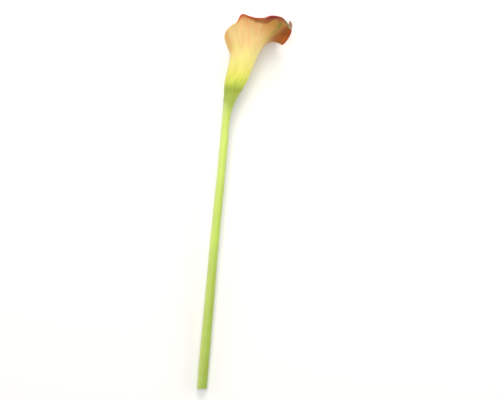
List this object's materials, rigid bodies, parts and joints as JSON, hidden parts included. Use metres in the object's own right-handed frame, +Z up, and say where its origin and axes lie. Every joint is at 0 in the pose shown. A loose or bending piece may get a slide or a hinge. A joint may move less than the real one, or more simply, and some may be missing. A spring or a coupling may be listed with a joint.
{
  "type": "arum lily flower",
  "caption": "Picked arum lily flower lying on its side: a funnel-shaped spathe with an overlapping seam and a flared, pointed limb round a finger-like spadix, on a long smooth stalk.",
  "frame": {"origin": "on the surface the flower lies on, below the middle of its box", "axes": "+Y along the flower from the cut end of the stalk to the mouth, +Z up from the surface, +X towards the side that the limb's tip leans to"},
  "size_m": [0.0712, 0.2776, 0.0422],
  "materials": {
    "stalk": "smooth waxy plant skin, fresh yellow-green",
    "spathe": "satin, slightly translucent bract, green at its foot through yellow and peach to a coral-red margin",
    "spadix": "matt, mealy yellow florets, greenish at the foot"
  },
  "bodies": {
    "root": {"stem": "stalk", "spathe": "spathe", "spadix": "spadix"}
  },
  "joints": []
}
